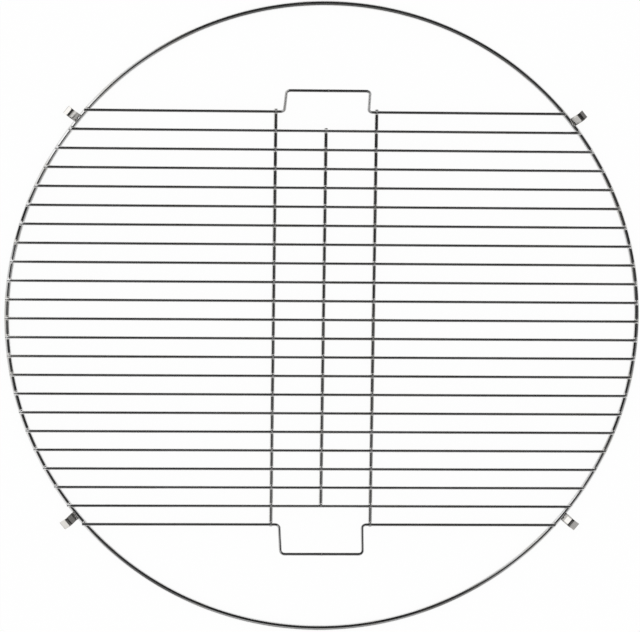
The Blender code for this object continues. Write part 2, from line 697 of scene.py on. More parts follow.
RING_PLATE = Finish(
    name="ring_plate", slot="ring_steel", colour=(0.80, 0.80, 0.80), haze_colour=(0.70, 0.69, 0.67),
    polish=0.09, haze=0.17, line_depth=4e-6, ripple_depth=1.2e-5, ripple_size=0.004,
)
WIRE_PLATE = CrossingFinish(
    name="cross_wire_plate", slot="cross_wire_steel", colour=(0.80, 0.80, 0.80),
    haze_colour=(0.70, 0.69, 0.67), polish=0.08, haze=0.15,
    line_depth=4e-6, ripple_depth=8e-6, ripple_size=0.003,
)
# Painted shade: the handle wires wear the rows' plate painted darker, 0.62 against 0.80, so that their
# legs render darker than the rows.
SHADED_HANDLE_PLATE = CrossingFinish(
    name="handle_plate_painted_shade", slot="handle_steel", colour=(0.62, 0.62, 0.62), haze_colour=(0.54, 0.53, 0.52),
    polish=0.08, haze=0.16, line_depth=4e-6, ripple_depth=8e-6, ripple_size=0.003,
)
STRINGER_PLATE = Finish(
    name="stringer_plate", slot="stringer_steel", colour=(0.78, 0.78, 0.77),
    haze_colour=(0.66, 0.65, 0.63), polish=0.09, haze=0.17,
    line_depth=4e-6, ripple_depth=1e-5, ripple_size=0.003,
)
HOOK_PLATE = StripFinish(
    name="hook_plate", slot="hook_steel", colour=(0.82, 0.80, 0.77), haze_colour=(0.72, 0.70, 0.66),
    polish=0.11, haze=0.19, line_depth=1.4e-5, ripple_depth=1.2e-5, ripple_size=0.003,
)
WIRE_WELD = WeldFinish(
    name="wire_weld", slot="cross_wire_steel", colour=(0.78, 0.77, 0.76), haze_colour=(0.62, 0.61, 0.58),
    polish=0.14, haze=0.26, line_depth=6e-6, ripple_depth=1.2e-5, ripple_size=0.0012,
)
HOOK_WELD = WeldFinish(
    name="hook_weld", slot="hook_steel", colour=(0.70, 0.68, 0.66), haze_colour=(0.54, 0.51, 0.48),
    polish=0.18, haze=0.32, line_depth=1.2e-5, ripple_depth=3e-5, ripple_size=0.0014,
)


# Sizes


@dataclass(frozen=True)
class GrillSizes:
    """The grill's sizes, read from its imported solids.

    Args:
        ring_radius: From the middle of the grill to the middle of the ring's wire.
        ring_wire: Thickness of the ring's wire.
        cross_wire: Thickness of the rows' wire.
        cross_height: Height of the rows' middle lines.
        row_count: How many rows there are, with the wires of both handles.
        row_step: Distance from one row to the next.
        stringer_wire: Thickness of the stringers.
        stringer_height: Height of their middle lines.
        stringer_spacing: Distance from one stringer to the next.
    """

    ring_radius: float
    ring_wire: float
    cross_wire: float
    cross_height: float
    row_count: int
    row_step: float
    stringer_wire: float
    stringer_height: float
    stringer_spacing: float

    @classmethod
    def from_frame(cls) -> "GrillSizes":
        """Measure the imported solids' boxes.

        Returns:
            The sizes.
        """
        ring_low, ring_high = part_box("outer_ring")
        first_low, first_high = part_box("cross_wire_02")
        next_low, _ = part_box("cross_wire_03")
        bar_low, bar_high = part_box("stringer_right")
        ring_wire = ring_high.z - ring_low.z
        return cls(
            ring_radius=(ring_high.x - ring_low.x - ring_wire) / 2,
            ring_wire=ring_wire,
            cross_wire=first_high.z - first_low.z,
            cross_height=(first_high.z + first_low.z) / 2,
            row_count=len([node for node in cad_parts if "wire_" in node]),
            row_step=first_low.y - next_low.y,
            stringer_wire=bar_high.z - bar_low.z,
            stringer_height=(bar_high.z + bar_low.z) / 2,
            stringer_spacing=(bar_high.x + bar_low.x) / 2,
        )

    def row_y(self, row: int) -> float:
        """Return the Y of a cross wire, counted from 1 at the back."""
        return ((self.row_count + 1) / 2 - row) * self.row_step

    def row_node(self, row: int) -> str:
        """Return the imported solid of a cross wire, the handles' wires included."""
        names = {1: "handle_wire_back", self.row_count: "handle_wire_front"}
        return names.get(row, f"cross_wire_{row:02d}")

    def over_ring(self, row: int) -> float:
        """Return how far from the Y axis a row crosses the middle of the ring's wire."""
        return math.sqrt(self.ring_radius ** 2 - self.row_y(row) ** 2)

    def hook_lean(self) -> float:
        """Return a hook's angle from the X axis, midway between the two outermost rows."""
        return math.asin((self.row_y(1) + self.row_y(2)) / 2 / self.ring_radius)


# Sub-assemblies


@dataclass
class OuterRing:
    """The round hoop that carries everything else.

    Args:
        sizes: The grill's sizes.
        steps: How many cuts it has all round.
        sides: How many sides its wire has.
        crease: The turn past which an edge is left hard.
    """

    sizes: GrillSizes
    steps: int = 360
    sides: int = 28
    crease: float = math.radians(60.0)

    def build(self) -> list[Piece]:
        """Model the hoop.

        Returns:
            The hoop, as the one piece of a list.
        """
        radius = self.sizes.ring_wire / 2
        middle = Vector((self.sizes.ring_radius, 0.0, radius))
        ring = Bench.section("outer_ring_finished", self.sides, radius, middle, Lie.ALONG_Y)
        Bench.open(ring)
        centre, upward = (0.0, 0.0, radius), (0.0, 0.0, 1.0)
        bpy.ops.mesh.spin(
            steps=self.steps, angle=math.tau, center=centre, axis=upward, use_auto_merge=True
        )
        bpy.ops.mesh.select_all(action="SELECT")
        bpy.ops.mesh.remove_doubles(threshold=SAME_POINT)
        bpy.ops.mesh.normals_make_consistent(inside=False)
        Bench.smooth(ring, self.crease)
        unroll(ring, self.locate, math.tau * radius)
        return [hand_over(ring, RING_PLATE, "outer_ring")]

    def locate(self, point: Vector) -> tuple[float, float]:
        """Find a point of the surface on the unrolled hoop.

        Args:
            point: The point.

        Returns:
            How far round the hoop and round its wire the point lies.
        """
        outward = math.hypot(point.x, point.y) - self.sizes.ring_radius
        turn = math.atan2(outward, point.z - self.sizes.ring_wire / 2)
        bearing = abs(math.atan2(point.y, point.x))
        return bearing * self.sizes.ring_radius, turn * self.sizes.ring_wire / 2


@dataclass
class CrossWires:
    """The straight wires that carry the food, pressed down on the ring where they are welded.

    Args:
        sizes: The grill's sizes.
        sides: How many sides a wire has.
        end_ease: How far the rounding of a cut end reaches.
        press_start: How far inside the middle of the ring's wire the press starts.
        press_steps: In how many steps a wire turns down there.
        press_slope: How steep it is at its end.
        crease: The turn past which an edge is left hard.
    """

    sizes: GrillSizes
    sides: int = 24
    end_ease: float = 0.00035
    press_start: float = 0.0016
    press_steps: int = 4
    press_slope: float = math.radians(23.0)
    crease: float = math.radians(50.0)

    def build(self) -> list[Piece]:
        """Model every straight row and return the pieces."""
        return [self.build_row(row) for row in range(2, self.sizes.row_count)]

    def build_row(self, row: int) -> Piece:
        """Model the wire of one row.

        Args:
            row: The row, counted from 1 at the back.

        Returns:
            The wire.
        """
        node = self.sizes.row_node(row)
        low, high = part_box(node)
        radius = self.sizes.cross_wire / 2
        y, z = self.sizes.row_y(row), self.sizes.cross_height
        middle = Vector(((low.x + high.x) / 2, y, z))
        wire = Bench.rod(f"{node}_finished", self.sides, radius, high.x - low.x, middle, Lie.ALONG_X)
        Bench.open(wire)
        ease_ends(wire, self.end_ease)
        self.press_ends(wire, self.sizes.over_ring(row))
        Bench.smooth(wire, self.crease)

        def locate(point: Vector) -> tuple[float, float]:
            """Return how far along X and round the wire a point lies."""
            return point.x, math.atan2(point.y - y, point.z - z) * radius

        unroll(wire, locate, math.tau * radius)
        return hand_over(wire, WIRE_PLATE, node)

    def press_ends(self, wire: Piece, over_ring: float) -> None:
        """Press a wire's ends down over the ring, in edit mode, as the welding electrode does.

        Args:
            wire: The wire, open in edit mode.
            over_ring: How far from the Y axis it crosses the ring's wire.
        """
        along = Vector((1.0, 0.0, 0.0))
        step = 2 * self.press_start / self.press_steps
        for side in (-1.0, 1.0):
            for count in range(-1, self.press_steps + 1):
                Bench.cut_across(along, side * (over_ring - self.press_start + count * step))
            for count in range(self.press_steps):
                Bench.pick_beyond(wire, along * side, over_ring - self.press_start + count * step)
                slope = self.press_slope * (count + 1) / self.press_steps
                bpy.ops.transform.translate(value=(0.0, 0.0, -math.tan(slope) * step))


@dataclass
class HandleWires:
    """The two end wires, bent outward and up into handles between the outer stringers.

    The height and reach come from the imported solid. The foot and the lean are the solid's own.

    Args:
        sizes: The grill's sizes.
        sides: How many sides a wire has.
        foot: How far from the Y axis a leg starts.
        leg_lean: How much nearer to it the leg ends.
        bend_radius: The middle line's radius in the bends.
        bend_step: The turn from one cut to the next in a bend.
        end_ease: How far the rounding of a cut end reaches.
        crease: The turn past which an edge is left hard.
    """

    sizes: GrillSizes
    sides: int = 24
    foot: float = 0.0418
    leg_lean: float = 0.0007
    bend_radius: float = 0.0042
    bend_step: float = math.radians(7.0)
    end_ease: float = 0.00035
    crease: float = math.radians(50.0)

    def build(self) -> list[Piece]:
        """Model both end wires and return them."""
        return [self.build_row(row) for row in (1, self.sizes.row_count)]

    def corners(self, row: int) -> list[Vector]:
        """Find the corners that a wire's middle line is bent round.

        Args:
            row: The row, counted from 1 at the back.

        Returns:
            The corners, from left to right, with both ends.
        """
        low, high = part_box(self.sizes.row_node(row))
        radius = self.sizes.cross_wire / 2
        y, z = self.sizes.row_y(row), self.sizes.cross_height
        grip = self.foot - self.leg_lean
        grip_y = high.y - radius if y > 0 else low.y + radius
        grip_z = high.z - radius
        return [
            Vector((low.x, y, z)),
            Vector((-self.foot, y, z)),
            Vector((-grip, grip_y, grip_z)),
            Vector((grip, grip_y, grip_z)),
            Vector((self.foot, y, z)),
            Vector((high.x, y, z)),
        ]

    def build_row(self, row: int) -> Piece:
        """Model one end wire.

        Args:
            row: The row, counted from 1 at the back.

        Returns:
            The wire.
        """
        node = self.sizes.row_node(row)
        corners = self.corners(row)
        radius = self.sizes.cross_wire / 2
        wire = Bench.section(f"{node}_finished", self.sides, radius, corners[0], Lie.ALONG_X)
        Bench.open(wire)
        route = bend_along(corners, self.bend_radius, self.bend_step)
        bpy.ops.mesh.select_all(action="SELECT")
        bpy.ops.mesh.fill_holes(sides=0)
        bpy.ops.mesh.normals_make_consistent(inside=False)
        ease_ends(wire, self.end_ease)
        Bench.smooth(wire, self.crease)
        unroll(wire, lambda point: locate_on(route, point), math.tau * radius)
        return hand_over(wire, SHADED_HANDLE_PLATE, node)


@dataclass
class Stringers:
    """The three thicker wires under the rows.

    Args:
        sizes: The grill's sizes.
        sides: How many sides a wire has.
        end_ease: How far the rounding of a cut end reaches.
        crease: The turn past which an edge is left hard.
    """

    sizes: GrillSizes
    sides: int = 26
    end_ease: float = 0.0005
    crease: float = math.radians(50.0)

    def build(self) -> list[Piece]:
        """Model the three stringers and return them."""
        return [self.build_one(f"stringer_{side}") for side in ("left", "centre", "right")]

    def build_one(self, node: str) -> Piece:
        """Model one stringer.

        Args:
            node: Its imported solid.

        Returns:
            The stringer.
        """
        low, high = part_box(node)
        radius, z = self.sizes.stringer_wire / 2, self.sizes.stringer_height
        x = (low.x + high.x) / 2
        middle = Vector((x, (low.y + high.y) / 2, z))
        bar = Bench.rod(f"{node}_finished", self.sides, radius, high.y - low.y, middle, Lie.ALONG_Y)
        Bench.open(bar)
        ease_ends(bar, self.end_ease)
        for end in (low.y + self.end_ease + HOLD, high.y - self.end_ease - HOLD):
            Bench.cut_across(Vector((0.0, 1.0, 0.0)), end)
        Bench.smooth(bar, self.crease)

        def locate(point: Vector) -> tuple[float, float]:
            """Return how far along Y and round the wire a point lies."""
            return point.y, math.atan2(point.x - x, point.z - z) * radius

        unroll(bar, locate, math.tau * radius)
        return hand_over(bar, STRINGER_PLATE, node)


@dataclass
class RimHooks:
    """Four bent strips that hang the grill on a bowl's rim.

    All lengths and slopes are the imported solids' own, along the middle line of the strip, outward
    from the ring. The foot alone is longer, and touches the ring's wire.

    Args:
        sizes: The grill's sizes.
        width: Width of the strip.
        thickness: Its thickness.
        foot_slope: How steeply the foot rises from the ring.
        foot_length: Length of the foot.
        rise_slope: How steeply the strip goes on to the crest.
        rise_length: Length of that part.
        crest_length: Length of the level crest.
        back_lip: Length and downward slope of the lips at the back.
        front_lip: The same of the lips at the front.
        bend_radius: The middle line's radius in the bends.
        bend_step: The turn from one cut to the next in a bend.
        start_share: Share of the foot that the first grid covers.
        cuts_across: How many faces the strip has across.
        edge_round: How far the rounding of its edges reaches.
        edge_cuts: In how many steps they are rounded.
        edge_angle: The turn past which an edge is rounded.
        crease: The turn past which an edge is left hard.
    """

    sizes: GrillSizes
    width: float = 0.0088
    thickness: float = 0.0014
    foot_slope: float = math.radians(30.0)
    foot_length: float = 0.0033
    rise_slope: float = math.radians(42.0)
    rise_length: float = 0.0059
    crest_length: float = 0.0026
    back_lip: tuple[float, float] = (0.0046, math.radians(38.0))
    front_lip: tuple[float, float] = (0.0072, math.radians(30.0))
    bend_radius: float = 0.0014
    bend_step: float = math.radians(7.0)
    start_share: float = 0.25
    cuts_across: int = 4
    edge_round: float = 0.00035
    edge_cuts: int = 3
    edge_angle: float = math.radians(60.0)
    crease: float = math.radians(40.0)

    def build(self) -> list[Piece]:
        """Model the four hooks and return them."""
        lean = self.sizes.hook_lean()
        return [self.build_one(corner, corner.bearing(lean)) for corner in Corner]

    def corners(self, corner: Corner) -> list[Vector]:
        """Find the corners of a strip's middle line, with the middle of the ring's wire at zero.

        Args:
            corner: Which hook it is.

        Returns:
            The corners, outward along X, with both ends.
        """
        lip_length, lip_slope = self.back_lip if corner.at_back else self.front_lip
        runs = [
            (self.sizes.ring_wire / 2, self.foot_slope),
            (self.foot_length, self.foot_slope),
            (self.rise_length, self.rise_slope),
            (self.crest_length, 0.0),
            (lip_length, -lip_slope),
        ]
        points = [Vector((0.0, 0.0, 0.0))]
        for length, slope in runs:
            points.append(points[-1] + Vector((math.cos(slope), 0.0, math.sin(slope))) * length)
        return points[1:]

    def build_one(self, corner: Corner, bearing: float) -> Piece:
        """Model one hook and turn it to its place on the ring.

        Args:
            corner: Which hook it is.
            bearing: Its angle from +X.

        Returns:
            The finished hook.
        """
        corners = self.corners(corner)
        start = (corners[1] - corners[0]) * self.start_share
        end = corners[0] + start
        Bench.clear()
        bpy.ops.mesh.primitive_grid_add(x_subdivisions=1, y_subdivisions=self.cuts_across, size=1.0)
        hook = bpy.context.object
        hook.scale = (start.length, self.width, 1.0)
        hook.rotation_euler = (0.0, -self.foot_slope, 0.0)
        hook.location = corners[0] + start / 2
        hook = Bench.start(f"{corner.node}_finished")
        Bench.open(hook)
        way = start.normalized()

        def at_end(edge: bmesh.types.BMEdge) -> bool:
            """Say whether an edge is the outer end of the strip so far."""
            return all((vertex.co - end).dot(way) > -SLACK for vertex in edge.verts)

        Bench.pick(hook, Part.EDGES, at_end)
        route = bend_along([end, *corners[1:]], self.bend_radius, self.bend_step)
        Bench.clear()
        self.thicken(hook)
        middle = [corners[0], *route]
        length = sum((after - before).length for before, after in zip(middle, middle[1:]))
        unroll(hook, lambda point: (length - locate_on(middle, point)[0], point.y), 0.0)
        hook.rotation_euler = (0.0, 0.0, bearing)
        hook.location = at_bearing(bearing, self.sizes.ring_radius, self.sizes.ring_wire / 2)
        Bench.settle(hook)
        return hand_over(hook, HOOK_PLATE, corner.node)

    def thicken(self, hook: Piece) -> None:
        """Give a bent strip its thickness and round its edges.

        Args:
            hook: The strip, as thin as its middle line.
        """
        thicken = hook.modifiers.new("thickness", "SOLIDIFY")
        thicken.thickness = self.thickness
        thicken.offset = 0.0
        thicken.use_even_offset = True
        rounding = hook.modifiers.new("edges", "BEVEL")
        rounding.width = self.edge_round
        rounding.segments = self.edge_cuts
        rounding.limit_method = "ANGLE"
        rounding.angle_limit = self.edge_angle
        Bench.finish_modifiers(hook)
        Bench.smooth(hook, self.crease)


@dataclass
class Welds:
    """The fillets of metal that the resistance welds squeeze out, and the beads of the hooks.

    Pairs are the least and the most that chance picks between, if nothing else is said.

    Args:
        sizes: The grill's sizes.
        seed: Where chance starts.
        sides: How many sides a collar has.
        collar_fit: A collar's radius as a share of its wire's, which hides all but its crown.
        collar_reach: How far a collar reaches along its wire from the crossing.
        saddle_reach: How far its raised middle reaches.
        stub_reach: How far it reaches towards the end of a stringer.
        end_rows: How many row steps from the first row count as the end of the stringers.
        slope: How steeply a collar rises to its middle.
        crown: Heights in radii of the wire, each with the share of the rise that starts there.
        bead_places: The beads' places across a hook, in bead steps.
        bead_step: Distance from one bead to the next.
        bead_size: Half a bead's size outward, sideways and upward.
        bead_swell: What that is multiplied by.
        bead_outward: How far outside the middle of the ring's wire a bead lies.
        bead_sideways: How far it strays from its place.
        bead_height: The height of its middle.
        bead_upward: What is added to that height.
        bead_cuts: How many segments and rings a bead has.
        lump: The most by which a point of the surface strays, as a share of its distance.
    """

    sizes: GrillSizes
    seed: int = 11
    sides: int = 16
    collar_fit: float = 0.985
    collar_reach: float = 0.0027
    saddle_reach: float = 0.0014
    stub_reach: float = 0.0017
    end_rows: float = 1.5
    slope: float = math.radians(42.0)
    crown: tuple[tuple[float, float], ...] = ((0.8, 0.25), (0.6, 0.40), (0.3, 0.35))
    bead_places: tuple[float, ...] = (-1.5, -0.5, 0.5, 1.5)
    bead_step: float = 0.0021
    bead_size: tuple[float, float, float] = (0.0016, 0.0014, 0.0013)
    bead_swell: tuple[float, float] = (0.85, 1.15)
    bead_outward: tuple[float, float] = (0.0010, 0.0022)
    bead_sideways: tuple[float, float] = (-0.0003, 0.0003)
    bead_height: float = 0.0041
    bead_upward: tuple[float, float] = (-0.0003, 0.0004)
    bead_cuts: tuple[int, int] = (14, 7)
    lump: float = 0.04

    def __post_init__(self) -> None:
        """Start the seeded chance that kneads the weld metal."""
        self.chance = random.Random(self.seed)

    def build(self) -> list[Piece]:
        """Model every weld.

        Returns:
            The joined collars of each stringer and each side of the ring, then the hooks' beads.
        """
        return self.build_collars() + self.build_beads()

    def build_collars(self) -> list[Piece]:
        """Model the collars of every crossing.

        Returns:
            One joined piece for each stringer and each side of the ring.
        """
        sizes = self.sizes
        rows = range(1, sizes.row_count + 1)
        bar = (sizes.stringer_wire / 2, sizes.stringer_height)
        hoop = (sizes.ring_wire / 2, sizes.ring_wire / 2)
        made = []
        for name, x, on in (
            ("left", -sizes.stringer_spacing, rows),
            ("centre", 0.0, rows[1:-1]),
            ("right", sizes.stringer_spacing, rows),
        ):
            places = [(x, sizes.row_y(row), 0.0) for row in on]
            collars = [self.collar_at(place, *bar, self.stub_side(place[1])) for place in places]
            made.append(hand_over(Bench.join(collars, f"stringer_welds_{name}"), WIRE_WELD))
        for name, side in (("left", -1), ("right", 1)):
            collars = [self.collar_at(self.on_ring(row, side), *hoop, 0.0) for row in rows]
            made.append(hand_over(Bench.join(collars, f"ring_welds_{name}"), WIRE_WELD))
        return made

    def build_beads(self) -> list[Piece]:
        """Model the beads between the ring and the hooks.

        Returns:
            One joined piece for each hook.
        """
        made = []
        for corner in Corner:
            lumps = self.bead_along(corner.bearing(self.sizes.hook_lean()))
            made.append(hand_over(Bench.join(lumps, f"{corner.node}_weld"), HOOK_WELD))
        return made

    def stub_side(self, y: float) -> float:
        """Return the side of Y, 1 or -1, on which a stringer may end at a row, or 0 at inner rows."""
        inner = self.sizes.row_y(1) - self.sizes.row_step * self.end_rows
        return 0.0 if abs(y) < inner else math.copysign(1.0, y)

    def on_ring(self, row: int, side: int) -> tuple[float, float, float]:
        """Find where a row crosses the ring's wire.

        Args:
            row: The row, counted from 1 at the back.
            side: -1 on the left or 1 on the right.

        Returns:
            The X and Y of the crossing, and how the ring's wire turns from Y there.
        """
        x, y = side * self.sizes.over_ring(row), self.sizes.row_y(row)
        return x, y, math.atan(y / x)

    def collar_at(
        self, place: tuple[float, float, float], radius: float, height: float, stub: float
    ) -> Piece:
        """Model the collar that swells the lower wire's top up to the upper wire at one crossing.

        Args:
            place: The X and Y of the crossing, and the turn about Z of the lower wire from Y.
            radius: The lower wire's radius.
            height: The height of the lower wire's middle.
            stub: 1 or -1 where the lower wire ends just past the crossing on that side in Y, or 0.

        Returns:
            The collar, with its place in its mesh.
        """
        x, y, turn = place
        origin, along = Vector((0.0, 0.0, 0.0)), Vector((0.0, 1.0, 0.0))
        snug, length = radius * self.collar_fit, 2 * self.collar_reach
        collar = Bench.rod("weld", self.sides, snug, length, origin, Lie.ALONG_Y)
        Bench.open(collar)
        saddle = self.saddle_reach / math.cos(turn)
        for reach in (-saddle, saddle):
            Bench.cut_across(along, reach)
        rise = (self.collar_reach - self.saddle_reach) * math.tan(self.slope)
        for level, share in self.crown:

            def on_crown(vertex: bmesh.types.BMVert, limit: float = level * radius) -> bool:
                """Say whether a point of the saddle lies above a limit."""
                return abs(vertex.co.y) < saddle + SLACK and vertex.co.z > limit

            Bench.pick(collar, Part.VERTS, on_crown)
            bpy.ops.transform.translate(value=(0.0, 0.0, rise * share))
        if stub:
            Bench.pick_beyond(collar, along * stub, saddle)
            shift = stub * (self.stub_reach - self.collar_reach)
            bpy.ops.transform.translate(value=(0.0, shift, 0.0))
        self.knead(collar, origin)
        collar.rotation_euler = (0.0, 0.0, turn)
        collar.location = (x, y, height)
        Bench.settle(collar)
        return collar

    def bead_along(self, bearing: float) -> list[Piece]:
        """Model the short row of weld lumps between the ring and one hook.

        Args:
            bearing: The hook's angle from +X.

        Returns:
            The lumps, from one side of the hook to the other.
        """
        lumps = []
        for count in self.bead_places:
            outward = self.sizes.ring_radius + self.chance.uniform(*self.bead_outward)
            across = count * self.bead_step + self.chance.uniform(*self.bead_sideways)
            height = self.bead_height + self.chance.uniform(*self.bead_upward)
            place = Matrix.Rotation(bearing, 3, "Z") @ Vector((outward, across, height))
            size = Vector(self.bead_size) * self.chance.uniform(*self.bead_swell)
            lumps.append(self.lump_at(place, size, bearing))
        return lumps

    def lump_at(self, place: Vector, size: Vector, bearing: float) -> Piece:
        """Model one round bead of weld metal.

        Args:
            place: Its middle.
            size: Its three half sizes.
            bearing: Its turn about Z.

        Returns:
            The bead, with its place in its mesh.
        """
        segments, rings = self.bead_cuts
        turn = (0.0, 0.0, bearing)
        Bench.clear()
        bpy.ops.mesh.primitive_uv_sphere_add(
            segments=segments, ring_count=rings, radius=1.0, location=place, scale=size, rotation=turn
        )
        bead = Bench.start("weld")
        self.knead(bead, place)
        return bead

    def knead(self, lump: Piece, middle: Vector) -> None:
        """Make a lump of weld metal a little uneven, and smooth all over.

        Args:
            lump: The lump.
            middle: The point that its surface swells from.
        """
        Bench.clear()
        for vertex in lump.data.vertices:
            swell = 1.0 + self.chance.uniform(-self.lump, self.lump)
            vertex.co = middle + (vertex.co - middle) * swell
        Bench.smooth(lump, math.pi)


# Studio and camera


@dataclass(frozen=True)
class SoftPanel:
    """A soft light panel of the studio, far away, as the metal mirrors it.

    Args:
        bearing: Middle of the panel, in degrees from +X towards +Y.
        spread: Half its width, in degrees.
        feather: Width of its soft side edges, in degrees.
        low: Elevation of its lower edge, in degrees.
        high: Elevation of its upper edge, in degrees.
        strength: Its brightness, where 1 is white.
    """

    bearing: float
    spread: float
    feather: float
    low: float
    high: float
    strength: float

    LOW_FEATHER = (-2.0, 4.0)
    HIGH_FEATHER = (8.0, -8.0)

    def glow(self, sheet: NodeSheet, level: Socket, height: Socket) -> Socket:
        """Wire how bright the panel is in a direction.

        Args:
            sheet: The world's nodes.
            level: The direction, laid flat and one long.
            height: The direction's height, from -1 to 1.

        Returns:
            Its brightness there.
        """
        inputs = {0: level, 1: at_bearing(math.radians(self.bearing), 1.0, 0.0)}
        facing = sheet.add("ShaderNodeVectorMath", inputs, operation="DOT_PRODUCT").outputs["Value"]
        outer = math.cos(math.radians(self.spread + self.feather))
        inner = math.cos(math.radians(max(0.0, self.spread - self.feather / 2)))
        across = sheet.step(facing, outer, inner)
        foot = [math.sin(math.radians(self.low + more)) for more in self.LOW_FEATHER]
        head = [math.sin(math.radians(self.high + more)) for more in self.HIGH_FEATHER]
        return sheet.product(across, sheet.step(height, *foot), sheet.step(height, *head), self.strength)


@dataclass(frozen=True)
class Banner:
    """A long banner of pale cloth, hung overhead towards the front, as the metal mirrors it.

    Each edge is a pair of numbers, for where it is dark and where it is bright, in the part of a
    direction that points that way.

    Args:
        strength: Its brightness, where 1 is white.
        near: Its edge nearest to the zenith, forward.
        far: Its farthest edge, forward.
        ends: Its left and right edges, sideways.
        rise: Its edge towards the floor, upward.
    """

    strength: float = 0.10
    near: tuple[float, float] = (0.165, 0.195)
    far: tuple[float, float] = (0.34, 0.26)
    ends: tuple[float, float] = (0.75, 0.60)
    rise: tuple[float, float] = (0.4, 0.5)

    def glow(self, sheet: NodeSheet, ray: Socket) -> Socket:
        """Wire how bright the banner is in a direction.

        Args:
            sheet: The world's nodes.
            ray: The direction, one long.

        Returns:
            Its brightness there.
        """
        axes = sheet.add("ShaderNodeSeparateXYZ", {0: ray}).outputs
        forward = sheet.product(axes["Y"], -1.0)
        sideways = sheet.math("ABSOLUTE", axes["X"])
        edges = ((forward, self.near), (forward, self.far), (sideways, self.ends), (axes["Z"], self.rise))
        return sheet.product(*(sheet.step(way, *edge) for way, edge in edges), self.strength)


@dataclass(frozen=True)
class Card:
    """A card, bright or nearly black, that stands beside the grill, where only the metal mirrors it.

    Args:
        bearing: Its bearing from the middle, in degrees from +X towards +Y.
        reach: Its distance from the middle.
        width: Its width.
        low: Height of its lower edge.
        high: Height of its upper edge.
        strength: Its brightness, where 1 is white.
    """

    bearing: float
    reach: float
    width: float
    low: float
    high: float
    strength: float

    FEATHER = 0.035
    MOST_FEATHER = 0.45

    def build(self) -> None:
        """Stand the card up and light it."""
        bearing = math.radians(self.bearing)
        Bench.clear()
        bpy.ops.mesh.primitive_plane_add(
            size=1.0,
            location=at_bearing(bearing, self.reach, (self.low + self.high) / 2),
            rotation=(math.pi / 2, 0.0, bearing + math.pi / 2),
        )
        card = bpy.context.object
        card.scale = (self.width, self.high - self.low, 1.0)
        card.name = f"card_at_{self.bearing:.0f}"
        card.data.materials.append(self.material(card.name))

    def material(self, name: str) -> bpy.types.Material:
        """Make a light with soft edges that shows in mirrored rays alone.

        Args:
            name: The material's name.

        Returns:
            The material.
        """
        material = bpy.data.materials.new(name)
        material.use_nodes = True
        material.cycles.emission_sampling = "NONE"
        sheet = NodeSheet(material.node_tree)
        place = sheet.add("ShaderNodeTexCoord").outputs["Object"]
        flat = sheet.add("ShaderNodeSeparateXYZ", {0: place})
        shown = sheet.add("ShaderNodeLightPath").outputs["Is Glossy Ray"]
        for axis, length in (("X", self.width), ("Y", self.high - self.low)):
            inward = sheet.math("SUBTRACT", 0.5, sheet.math("ABSOLUTE", flat.outputs[axis]))
            soft = min(self.MOST_FEATHER, self.FEATHER / length)
            shown = sheet.product(shown, sheet.step(inward, 0.0, soft))
        light = sheet.add("ShaderNodeEmission", {"Strength": self.strength}).outputs[0]
        clear = sheet.add("ShaderNodeBsdfTransparent").outputs[0]
        both = sheet.add("ShaderNodeMixShader", {0: shown, 1: clear, 2: light})
        sheet.add("ShaderNodeOutputMaterial", {"Surface": both.outputs[0]})
        return material


